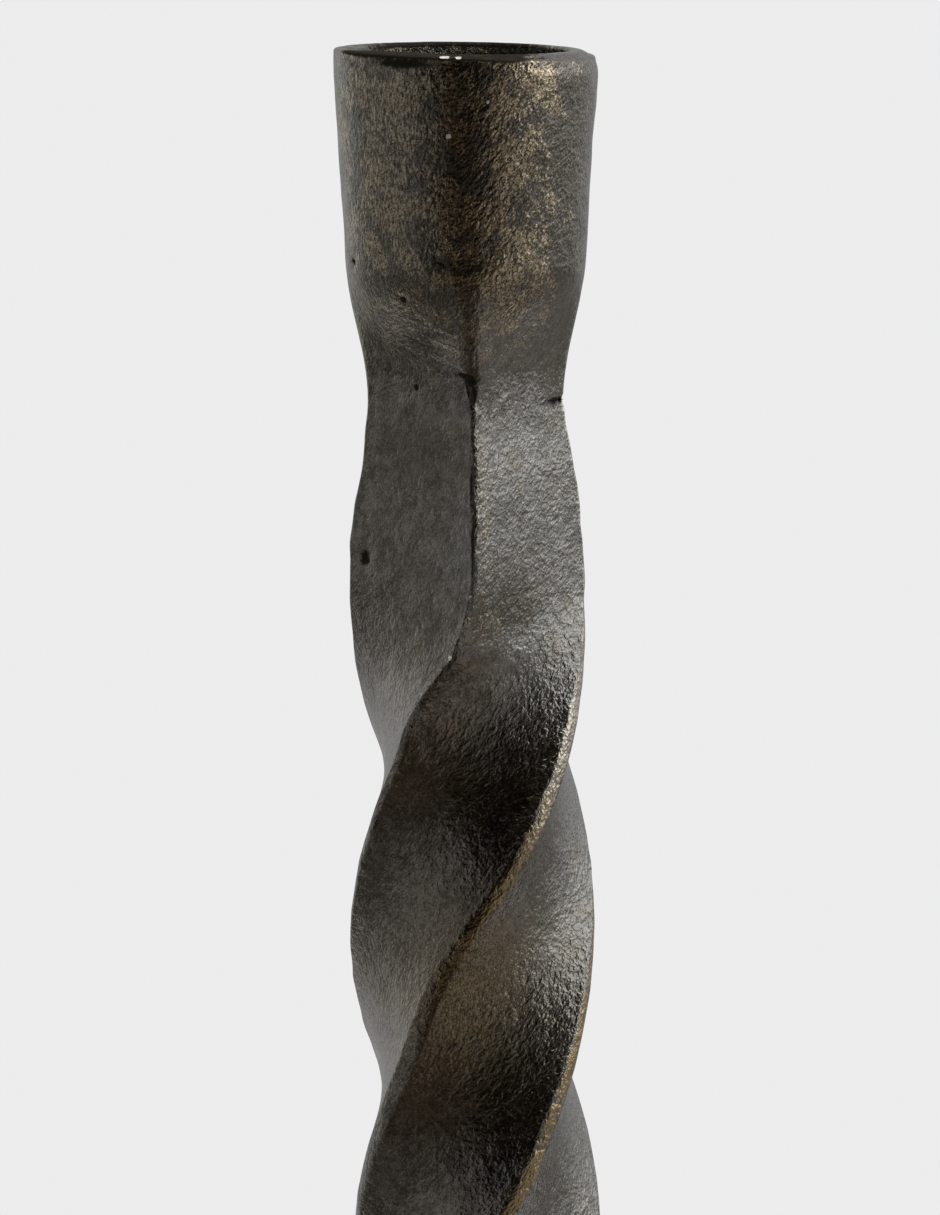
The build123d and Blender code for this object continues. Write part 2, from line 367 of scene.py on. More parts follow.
# a finish laid on in spots: each row gives angle, height, width, tallness and strength
def tinted(points, rows):
    return sum(strength * bell(points, *spot) for *spot, strength in rows)


cornerAngles = np.array([-90.0, 0.0, 90.0, 180.0])
tenon = dict(half=7.36, corner=1.0, length=3.0, clearance=0.1, gap=0.2, hole=3.0, holeDepth=18.0, passHole=3.3)
neck = dict(half=11.05, corner=0.7, rim=0.05, growth=1.6, growthSpan=7.0)  # section where cup and foot meet the stem
seamStep = 0.03  # an extra row this near to a joint keeps its edge crisp


# how much the corners of cup and foot widen away from the joint
def cornerGrowth(fromJoint):
    return neck["growth"] * softStep(0, neck["growthSpan"], fromJoint)



# twisted stem: the square section swells below the neck and turns with depth.
# A wobble is a corner, a depth, a span and degrees. A mark is an angle, a height, a width, a tallness and its strength
stem = dict(
    swell=1.85, swellOnset=3.0, swellLength=16.5, belly=1.35, fullness=0.06, fullFrom=10.0, fullTo=40.0,
    twistRate=2.4, straightEnd=22.87, onset=2.7, leads=(4.2, 1.4, -4.7, -0.9), evenSpan=30.0,
    bow=1.5, nudge=0.25, nudgeDepth=8.0, nudgeSpan=5.0, rows=440, cornerSteps=15, flatSteps=35, drillPoint=1.8,
    topCuts=((0.3, 0.9), (0.8, 0.8), (0.8, 0.8), (0.8, 0.8)),
    twistCuts=((0.8, 0.8), (1.7, 1.7), (1.7, 1.7), (1.7, 1.7)),
    cutStarts=(24.0, 17.0, 17.0, 17.0), cutSpan=16.0, jointSpan=6.0, cutWeight=0.25, weightSpan=8.0,
    edgeLumps=0.1, edgeLumpSize=2.2,
    wobble=[(0, 34.0, 4.5, -4.0), (1, 63.0, 9.5, -8.0), (2, 88.0, 7.0, 3.0), (0, 27.6, 1.6, 1.5)],
    flaws=[(-172, 242.7, 0.6, 0.9, 0.35, 1.0), (-97, 232.6, 0.8, 0.7, 0.2, 0.0), (-86.6, 248.0, 0.28, 12.0, 0.08, 0.75),
           (0, 260.5, 0.5, 0.35, 0.5, 1.0), (-6, 260.3, 1.3, 0.25, 0.25, 0.9), (-10, 260.1, 1.5, 0.4, 0.2, 0.85)],
    gilt=[(-80, 247.0, 0.6, 10.0, 0.6), (-74, 237.0, 2.0, 2.5, 0.5)], film=[(-86, 194.0, 8.0, 10.0, 0.9)],
    dull=[(-62, 238.5, 5.0, 3.5, 0.8), (-135, 256.0, 9.0, 6.0, 0.6), (-18, 258.6, 3.0, 2.8, 0.45)],
    bare=[(-97.5, 232.9, 0.5, 0.4)],
)


# turn in degrees: none at the ends, a steady twist between them, a soft change from one to the other
def stemTurn(depth):
    begun = stem["onset"] * np.logaddexp(0, (depth - stem["straightEnd"]) / stem["onset"])
    ended = stem["onset"] * np.logaddexp(0, (depth - stemLength + stem["straightEnd"]) / stem["onset"])
    whole = stemLength - 2 * stem["straightEnd"]
    return (begun - ended) * round(stem["twistRate"] * whole / 90) * 90 / whole


# half width across corners: neck, plus a softly started quarter sine over the swell, plus a slow belly
def stemHalf(depth):
    fromJoint = np.minimum(depth, stemLength - depth)
    reach = np.minimum((np.hypot(fromJoint, stem["swellOnset"]) - stem["swellOnset"]) / stem["swellLength"], 1)
    return neck["half"] + stem["swell"] * np.sin(np.pi / 2 * reach) + stem["belly"] * np.sin(np.pi * depth / stemLength)


# corner angles at each depth: the casting's corners lead or lag, and wander a little on their way down
def stemAngles(depth):
    even = softStep(0, stem["evenSpan"], stemLength - depth)
    angles = cornerAngles[None, :] + np.array(stem["leads"])[None, :] * even[:, None] - stemTurn(depth)[:, None]
    for corner, place, width, degrees in stem["wobble"]:
        angles[:, corner] += degrees * np.exp(-(((depth - place) / width) ** 2))
    return angles


# corner cuts at each depth: small at the joints, uneven on the straight top, wide and worn flat on the twist
def stemCuts(depth):
    kinds = stem["topCuts"], stem["twistCuts"], neck["corner"]
    top, twisted, joint = (np.broadcast_to(cuts, (4, 2)) for cuts in kinds)
    starts = np.array(stem["cutStarts"])
    fromEnd = np.minimum(depth, stemLength - depth)
    onTwist = softStep(starts, starts + stem["cutSpan"], fromEnd[:, None])[..., None]
    offJoint = softStep(0, stem["jointSpan"], fromEnd)[:, None, None]
    cuts = top + (twisted - top) * onTwist
    return joint + (cuts - joint) * offJoint


def makeStem():
    plan = ringPlan(stem["cornerSteps"], stem["flatSteps"])
    share = np.linspace(0, 1, stem["rows"])
    depth = stemLength * (1 - share - 0.5 * np.sin(2 * np.pi * share) / (2 * np.pi))  # rows lie closer at both ends
    depth = np.sort(np.append(depth, [seamStep, stemLength - seamStep]))[::-1]
    half = stemHalf(depth)
    fromEnd = np.minimum(depth, stemLength - depth)
    cuts = stemCuts(depth)
    weight = roundCorner + (stem["cutWeight"] - roundCorner) * softStep(0, stem["weightSpan"], fromEnd)
    nudged = np.exp(-(((depth - stem["nudgeDepth"]) / stem["nudgeSpan"]) ** 2))
    shift = stem["bow"] * np.sin(np.pi * depth / stemLength) ** 2 + stem["nudge"] * nudged
    angles = stemAngles(depth)
    full = stem["fullness"] * softStep(stem["fullFrom"], stem["fullTo"], fromEnd)
    points = sectionRings(plan, cupJoint - depth, half, cuts, np.zeros_like(depth), angles, shift, weight, full)
    ridge = ridgeShare(points, half, np.zeros_like(depth), angles, shift, 0.75 * cuts.mean((1, 2)) + 0.1)
    lift = castSkin(points)
    lumps = castNoise(points, stem["edgeLumpSize"], 23) * softStep(0, 3, fromEnd)[:, None]
    lift += stem["edgeLumps"] * ridge * lumps
    sunk, stain = flaws(points, stem["flaws"])
    lift += sunk
    tints = {mark: tinted(points, stem[mark]) for mark in ("gilt", "film", "dull")}
    bare = sum(bell(points, *spot) for spot in stem["bare"])
    points = points + outward(points, False, True) * lift[..., None]
    # tenons and screw holes at both ends
    end, hole, key = footJoint - tenon["length"], tenon["hole"], tenon["half"]
    tiers = [(end + tenon["holeDepth"], hole, 0.5, 1), (end, hole, 0.5, 1)]
    tiers += [(end, key, tenon["corner"], 0), (footJoint, key, tenon["corner"], 0)]
    tiers.append((footJoint, neck["half"] - neck["rim"], neck["corner"], 0))
    ends = np.array(tiers)
    tops = ends[::-1] * (-1, 1, 1, 1) + (footJoint + cupJoint, 0, 0, 0)
    square = np.broadcast_to(cornerAngles, (5, 4))
    led = square + np.array(stem["leads"])
    below = sectionRings(plan, ends[:, 0], ends[:, 1], evenCuts(ends[:, 2]), ends[:, 3], square, np.zeros(5))
    above = sectionRings(plan, tops[:, 0], tops[:, 1], evenCuts(tops[:, 2]), tops[:, 3], led, np.zeros(5))
    hidden = np.zeros((5, points.shape[1]))
    marks = dict(ridge=ridge, stain=stain, bare=bare) | tints
    marks = {name: np.concatenate([hidden, values, hidden]) for name, values in marks.items()}
    poles = [(0, 0, ends[0, 0] + stem["drillPoint"]), (0, 0, tops[-1, 0] - stem["drillPoint"])]
    return ringMesh("twistedStem", np.concatenate([below, points, above]), poles, marks)


stemPiece = makeStem()
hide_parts("twisted_stem")
print("stem made,", len(stemPiece.data.polygons), "faces")

# cup: square at the neck, round above, with a filed rim, the socket and its screw seat.
# Sides are shares of the rim's radius, marks are given as for the stem
cup = dict(
    shoulderHalf=13.5, shoulderHeight=15.5, straight=0.5, roundFrom=3.5, roundTo=16.5, flare=0.02, lipHeight=3.0,
    rimFall=0.12, outerRound=0.35, outerTurn=88.0, innerRound=0.4, headRadius=5.85, headLand=0.4,
    cornerSteps=40, flatSteps=40, wallRows=130, edgeRows=8, landRows=14, mouthRows=7, boreRows=72, floorRows=14,
    ridge=1.6, ridgeWear=0.5, leadSpan=20.0, levelBelow=6.0, landSkin=0.35,
    mouthShift=0.45, mouthDepth=14.0, mouthInset=0.6, rimTilt=0.17, tiltFrom=20.0,
    wornDrop=0.5, wornInset=0.28, wornSide=(-0.3, 0.9), wornIn=(2.0, 0.1), wornDown=(2.6, 0.2),
    wrinkle=0.2, wrinkleSizes=(1.9, 0.9), wrinkleRows=(2, 12), landWrinkle=0.35, landWrinkleSide=(0.1, -0.5),
    hollow=0.4, hollowAcross=(-3.0, 2.0), hollowLow=(0.0, 4.5), hollowHigh=(13.0, 5.0), faceEdge=4.0,
    scar=0.3, scarSize=0.8, scarSpot=(-88, 263.4, 2.0, 1.8), fold=0.14, foldPitch=1.7, foldSpot=(-101, 267.4, 1.7, 2.8),
    lipDark=0.45, lipSide=(0.62, 0.3), lipFront=(-0.1, -0.6),
    landDark=0.62, landSide=(0.9, 0.35), landFade=(-0.5, -1.0),
    # the last flaw is a dent under the rim at the front left, its dark stain partly a painted shadow
    flaws=[(-158, 276.5, 0.4, 0.4, 0.3, 1.2), (-124, 272.8, 0.36, 0.36, 0.25, 1.2), (-135, 262.5, 0.36, 0.36, 0.2, 1.2),
           (0, 260.5, 0.5, 0.35, 0.5, 1.0), (-6, 260.6, 1.3, 0.25, 0.25, 0.9), (-86.5, 263.7, 0.8, 0.7, 0.4, 1.0),
           (-85, 262.2, 0.5, 1.2, 0.35, 1.0), (-91, 264.4, 1.3, 0.42, 0.2, 0.85), (-118, 299.0, 4.5, 0.7, 0.12, 0.8)],
    bare=[(-97.5, 291.2, 0.38, 0.38), (-80.3, 294.9, 0.28, 0.28), (-76.6, 276.0, 0.28, 0.28), (-99, 299.9, 0.7, 0.3),
          (-93, 299.8, 0.4, 0.3)],
    bareInset=(1.4, 0.5),
    gilt=[(-57, 296.9, 3.5, 1.8, 1.0), (-68, 288.1, 2.6, 2.2, 1.0), (-47, 285.2, 2.2, 2.4, 1.0),
          (-55, 292.1, 1.2, 1.0, 0.9), (-65, 277.4, 2.4, 1.6, 0.9), (-68, 271.5, 1.8, 1.6, 0.8),
          (-92, 271.1, 0.6, 2.5, 0.6), (-123, 296.1, 2.6, 2.2, 0.6), (-102, 296.8, 1.6, 1.0, 0.7),
          (-124, 283.0, 2.4, 2.0, 0.65), (-118, 276.9, 1.2, 1.6, 0.6), (-111, 291.0, 1.0, 1.5, 0.4)],
    # dull marks on the cup are a painted shade on its lower left
    dull=[(-140, 268.0, 5.0, 4.0, 0.75), (-155, 272.0, 3.0, 4.0, 0.5)],
)


# half width of the cup's outside: a cubic from the neck to the shoulder, then a straight taper to the lip
def cupHalf(height):
    lipBase = crest - cupJoint - cup["lipHeight"]
    taper = (rimRadius - cup["shoulderHalf"]) / (lipBase - cup["shoulderHeight"])
    rise = cup["shoulderHeight"] - cup["straight"]
    share = np.clip((height - cup["straight"]) / rise, 0, 1)
    bend = share * (1 - share) * rise * (cup["flare"] / 2 * (1 - share) - taper * share)
    below = neck["half"] + (cup["shoulderHalf"] - neck["half"]) * softStep(0, 1, share) + bend
    above = cup["shoulderHalf"] + taper * (np.minimum(height, lipBase) - cup["shoulderHeight"])
    return np.where(height < cup["shoulderHeight"], below, above)


def makeCup():
    plan = ringPlan(cup["cornerSteps"], cup["flatSteps"])
    top = crest - cupJoint
    floorHeight = socketFloor - cupJoint
    inner = socketRadius + cup["innerRound"]
    # the outline in rows of height above the joint, half width and roundness
    wall = np.linspace(0, top - cup["rimFall"] - cup["outerRound"], cup["wallRows"])
    wall = np.insert(wall, 1, seamStep)
    outer = np.stack([wall, cupHalf(wall), softStep(cup["roundFrom"], cup["roundTo"], wall)], -1)
    turn = np.linspace(0, math.radians(cup["outerTurn"]), cup["edgeRows"])[1:]
    edgeHeight = top - cup["rimFall"] - cup["outerRound"] * (1 - np.sin(turn))
    edge = np.stack([edgeHeight, rimRadius - cup["outerRound"] * (1 - np.cos(turn)), np.ones_like(turn)], -1)
    land = edge[-1] + np.linspace(0, 1, cup["landRows"])[1:, None] * (np.array([top, inner, 1]) - edge[-1])
    turn = np.linspace(0, math.pi / 2, cup["mouthRows"])[1:]
    mouthHeight = top - cup["innerRound"] * (1 - np.cos(turn))
    mouth = np.stack([mouthHeight, inner - cup["innerRound"] * np.sin(turn), np.ones_like(turn)], -1)
    down = np.linspace(top - cup["innerRound"], floorHeight, cup["boreRows"])[1:]
    bore = np.stack([down, np.full_like(down, socketRadius), np.ones_like(down)], -1)
    across = np.linspace(socketRadius, cup["headRadius"], cup["floorRows"])[1:]
    bottom = np.stack([np.full_like(across, floorHeight), across, np.ones_like(across)], -1)
    seat = floorHeight - cup["headLand"]
    pocket = tenon["length"] + tenon["gap"]
    hole = tenon["passHole"]
    sink = np.array([(seat, cup["headRadius"], 1), (seat - cup["headRadius"] + hole, hole, 1), (pocket, hole, 1)])
    key = tenon["half"] + tenon["clearance"]
    joint = np.array([(pocket, key, 0), (0, key, 0), (0, neck["half"] - neck["rim"], 0)])
    rows = np.concatenate([joint, outer, edge, land, mouth, bore, bottom, sink])
    height, half, roundness = rows.T
    # which rows are which
    count = len(rows)
    order = np.arange(count)
    firstWall = len(joint)
    firstLand = firstWall + len(outer) + len(edge)
    firstMouth = firstLand + len(land)
    lastWall = firstMouth + len(mouth) + len(bore)
    outside = ((order >= firstWall) & (order < firstLand)).astype(float)[:, None]
    onLand = ((order >= firstLand) & (order < firstMouth + len(mouth))).astype(float)[:, None]
    corner = neck["corner"] + cornerGrowth(height) * (order < firstMouth)
    angles = cornerAngles[None, :] + np.array(stem["leads"])[None, :] * softStep(cup["leadSpan"], 0, height)[:, None]
    shifted = softStep(top - cup["mouthDepth"], top, height) * softStep(rimRadius - cup["mouthInset"], inner, half)
    shift = cup["mouthShift"] * shifted
    points = sectionRings(plan, height + cupJoint, half, evenCuts(corner), roundness, angles, shift)
    ridge = ridgeShare(points, half, roundness, angles, shift, cup["ridge"])
    # cast skin everywhere, wrinkles in the socket, then flaws, scar, folds and hollows on the outside
    free = ((order >= firstWall) & (order < lastWall)).astype(float)
    free[firstLand:firstMouth] = cup["landSkin"]  # the filed top is flatter
    smooth, wrinkledFrom = (firstMouth + step for step in cup["wrinkleRows"])
    rough = softStep(smooth, wrinkledFrom, order) * (order < lastWall)
    wide, fine = cup["wrinkleSizes"]
    wrinkle = np.abs(castNoise(points, wide, 31)) + 0.6 * np.abs(castNoise(points, fine, 32)) - 0.5
    leftLand = (order >= firstLand) * (order < wrinkledFrom) * cup["landWrinkle"]
    leftLand = leftLand[:, None] * softStep(*cup["landWrinkleSide"], points[..., 0] / rimRadius)
    wrinkled = np.maximum(rough[:, None], leftLand)
    sunk, stain = flaws(points, cup["flaws"])
    scar = np.abs(castNoise(points, cup["scarSize"], 33)) * bell(points, *cup["scarSpot"])
    folds = np.sin(2 * np.pi * points[..., 2] / cup["foldPitch"] + points[..., 0]) * bell(points, *cup["foldSpot"])
    sunk += cup["fold"] * folds
    onFace = 1 - ridgeShare(points, half, np.zeros(count), angles, shift, cup["faceEdge"])
    onFace *= softStep(*cup["hollowAcross"], points[..., 0])
    hollowTall = softStep(*cup["hollowLow"], height) * softStep(*cup["hollowHigh"], height)
    sunk -= cup["hollow"] * onFace * hollowTall[:, None]
    lift = castSkin(points) * free[:, None] + cup["wrinkle"] * wrinkle * wrinkled
    lift += (sunk - cup["scar"] * scar) * outside
    level = (height < cup["levelBelow"]) & (outside[:, 0] > 0)
    points = points + outward(points, True, level) * lift[..., None]
    # the rim tilts a little, and its right side is worn round
    radius = np.hypot(points[..., 0], points[..., 1])
    wornFrom, wornTo = (rimRadius - inset for inset in cup["wornIn"])
    worn = softStep(*cup["wornSide"], points[..., 0] / radius) * softStep(wornFrom, wornTo, radius)
    wornFrom, wornTo = (top - depth for depth in cup["wornDown"])
    worn *= softStep(wornFrom, wornTo, height)[:, None]
    points[..., :2] *= (1 - cup["wornInset"] * worn / radius)[..., None]
    points[..., 2] -= cup["wornDrop"] * worn
    points[..., 2] -= cup["rimTilt"] * points[..., 0] / rimRadius * softStep(cup["tiltFrom"], top, height)[:, None]
    # bare chips on the outside, partly painted glints; a dark lip at the front, partly a painted shadow under the lip;
    # and a darker land at the left
    bareFrom, bareTo = (rimRadius - inset for inset in cup["bareInset"])
    bare = sum(bell(points, *spot) for spot in cup["bare"]) * (order < firstMouth)[:, None]
    bare *= softStep(bareFrom, bareTo, half)[:, None]
    sideways, forwards = points[..., 0] / rimRadius, points[..., 1] / rimRadius
    lip = np.exp(-(((height - top + cup["rimFall"]) / cup["lipDark"]) ** 2))
    lip *= (order < firstMouth) & (order >= firstWall)
    lipShadeAndCrust = lip[:, None] * softStep(*cup["lipSide"], sideways) * softStep(*cup["lipFront"], forwards)
    darkerLand = cup["landDark"] * onLand * softStep(*cup["landSide"], sideways)
    darkerLand *= 1 - 0.5 * softStep(*cup["landFade"], sideways)
    stain = np.maximum(stain * outside, np.maximum(lipShadeAndCrust, darkerLand))
    marks = dict(ridge=cup["ridgeWear"] * ridge, stain=stain, inside=np.repeat(rough, points.shape[1]))
    marks |= dict(bare=np.clip(bare, 0, 1)) | {mark: tinted(points, cup[mark]) * outside for mark in ("gilt", "dull")}
    return ringMesh("candleCup", points, None, marks)


cupPiece = makeCup()
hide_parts("candle_cup")
print("cup made,", len(cupPiece.data.polygons), "faces")

# foot: square collar that opens into a round bell, with a rounded edge and a hollow underside
base = dict(
    collarHeight=9.0, edgeRound=4.0, sideHeight=2.0, land=7.0, recess=3.0, pocketRadius=11.0, pocketDepth=10.0,
    lowerRound=0.5, lowerCut=0.15, cornerSteps=45, flatSteps=55, sideRows=6, edgeRows=14, flareRows=110,
    ridge=1.6, levelSpan=0.5, evenEdge=0.8, evenSpan=0.6, wornOut=2.6, wornSpan=1.6, wornFrom=1.0,
)


def makeFoot():
    plan = ringPlan(base["cornerSteps"], base["flatSteps"])
    flareRadius = footRadius - base["edgeRound"]
    flareHeight = footJoint - footBottom - base["edgeRound"] - base["sideHeight"]
    reach = flareRadius - neck["half"]
    seat = footBottom + base["pocketDepth"]
    roof = footBottom + base["recess"]
    landRadius = footRadius - base["land"]
    under = [(seat, tenon["passHole"]), (seat, base["pocketRadius"]), (roof, base["pocketRadius"]), (roof, landRadius)]
    under += [(footBottom, landRadius), (footBottom, footRadius - base["lowerRound"])]
    under.append((footBottom + base["lowerCut"], footRadius - base["lowerCut"]))
    side = np.linspace(footBottom + base["lowerRound"], footBottom + base["sideHeight"], base["sideRows"])
    sides = np.stack([side, np.full_like(side, footRadius)], -1)
    turn = np.linspace(0, math.pi / 2, base["edgeRows"])[1:]
    edgeZ = footBottom + base["sideHeight"] + base["edgeRound"] * np.sin(turn)
    edge = np.stack([edgeZ, flareRadius + base["edgeRound"] * np.cos(turn)], -1)
    turn = np.linspace(math.pi / 2, 0, base["flareRows"])[1:]
    turn = np.insert(turn, -1, seamStep / flareHeight)
    flare = np.stack([footJoint - flareHeight * np.sin(turn), flareRadius - reach * np.cos(turn)], -1)
    outline = np.concatenate([np.array(under), sides, edge, flare])
    height, half = outline.T
    roundness = softStep(0, base["collarHeight"], footJoint - height)
    pocket = tenon["length"] + tenon["gap"]
    key = tenon["half"] + tenon["clearance"]
    seam = (footJoint, neck["half"] - neck["rim"], 0)
    roofHeight = footJoint - pocket
    tail = np.array([seam, (footJoint, key, 0), (roofHeight, key, 0), (roofHeight, tenon["passHole"], 1)])
    rows = np.concatenate([np.stack([height, half, roundness], -1), tail])
    height, half, roundness = rows.T
    count = len(rows)
    corner = neck["corner"] + cornerGrowth(footJoint - height)
    corner = np.where(roundness > 0.99, half * 0.5, corner)  # where it is round, points lie evenly
    angles = np.broadcast_to(cornerAngles, (count, 4))
    points = sectionRings(plan, height, half, evenCuts(corner), roundness, angles, np.zeros(count))
    ridge = ridgeShare(points, half, roundness, angles, np.zeros(count), base["ridge"])
    free = np.ones(count)
    free[: len(under)] = 0
    free[-len(tail) :] = 0
    free *= 1 - base["evenEdge"] * np.exp(-(((half - footRadius) / base["evenSpan"]) ** 2))
    lift = castSkin(points) * free[:, None]
    points = points + outward(points, True, footJoint - height < base["levelSpan"]) * lift[..., None]
    worn = np.exp(-(((half - flareRadius - base["wornOut"]) / base["wornSpan"]) ** 2))
    worn *= height > footBottom + base["wornFrom"]
    return ringMesh("castFoot", points, None, dict(ridge=np.maximum(ridge, worn[:, None])))


footPiece = makeFoot()
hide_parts("foot")
print("foot made,", len(footPiece.data.polygons), "faces")

# felt disc: flat faces, a rounded fuzzy edge
felt = dict(
    fuzz=0.12, fuzzSizes=(1.4, 0.6), edge=0.5, steps=60, belowRows=60, edgeRows=13, aboveRows=16, centre=2.0, dent=0.03,
)


def makeFelt():
    plan = ringPlan(felt["steps"], felt["steps"])
    flatRadius = feltRadius - felt["edge"]
    below = np.linspace(felt["centre"], flatRadius, felt["belowRows"])[:-1]
    turn = np.linspace(-math.pi / 2, math.pi / 2, felt["edgeRows"])
    above = np.linspace(flatRadius, felt["centre"], felt["aboveRows"])[1:]
    radius = np.concatenate([below, feltRadius - felt["edge"] * (1 - np.cos(turn)), above])
    edgeHeight = footBottom / 2 * (1 + np.sin(turn))
    height = np.concatenate([np.zeros_like(below), edgeHeight, np.full_like(above, footBottom)])
    count = len(radius)
    angles = np.broadcast_to(cornerAngles, (count, 4))
    points = sectionRings(plan, height, radius, evenCuts(radius * 0.5), np.ones(count), angles, np.zeros(count))
    coarse, fine = felt["fuzzSizes"]
    fuzz = castNoise(points, coarse, 41) + 0.7 * castNoise(points, fine, 42)
    inwards = -felt["fuzz"] * np.abs(fuzz) * (height < footBottom - 0.01)[:, None]  # the glued face stays flat
    points = points + outward(points, False, False) * inwards[..., None]
    return ringMesh("feltDisc", points, [(0, 0, felt["dent"]), (0, 0, footBottom)], {})


feltPiece = makeFelt()
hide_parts("felt_pad")
print("felt made,", len(feltPiece.data.polygons), "faces")

# dark bronze on cast metal: grey sheen, short brushed strokes of gold where it is rubbed, black in the hollows. Painted
# light is laid into it too: a lighter right side and paler right corners, pale glints on wrinkle crests and chips, and
# painted shade under the rim's lip and on the cup's lower left.
# Colours, then texture sizes in millimetres, then the places, in metres, between which one finish turns into another
bronze = dict(
    dark=(0.13, 0.126, 0.118, 1), grey=(0.24, 0.235, 0.222, 1), earth=(0.085, 0.077, 0.068, 1),
    clay=(0.215, 0.197, 0.176, 1), slateDark=(0.075, 0.067, 0.055, 1), slate=(0.195, 0.184, 0.165, 1),
    umber=(0.064, 0.052, 0.035, 1), gold=(0.62, 0.525, 0.38, 1), brown=(0.19, 0.155, 0.11, 1),
    dull=(0.075, 0.066, 0.053, 1), shade=(0.06, 0.048, 0.03, 1), film=(0.3, 0.24, 0.145, 1),
    crest=(0.8, 0.78, 0.75, 1), rubbed=(0.44, 0.405, 0.345, 1), rubbedLow=(0.33, 0.25, 0.14, 1),
    crust=(0.02, 0.017, 0.014, 1), inside=(0.035, 0.031, 0.027, 1), bare=(0.7, 0.69, 0.67, 1),
    rough=0.17, peel=0.00028, patchSize=9, cloudSize=3.0, mottleSize=2.4, grainSize=0.2, wrinkleSize=0.8,
    uprightSize=0.22, uprightStretch=(1, 1, 3.3), slantedSize=0.24, slantedStretch=(1, 1, 1.8), slant=(0, 0.7, 0),
    dentSizes=(0.8, 0.34), dentShares=(0.55, 0.45), dentStretch=(1, 1, 1.6),
    twistFrom=(0.24, 0.228), lowFrom=(0.222, 0.208), cupFrom=(0.262, 0.28), greySide=(-0.004, 0.005),
    lessGold=(0.0, -0.006), noGold=(0.006, 0.012), paleSide=(-0.001, 0.009), crestSide=(0.003, -0.005),
)


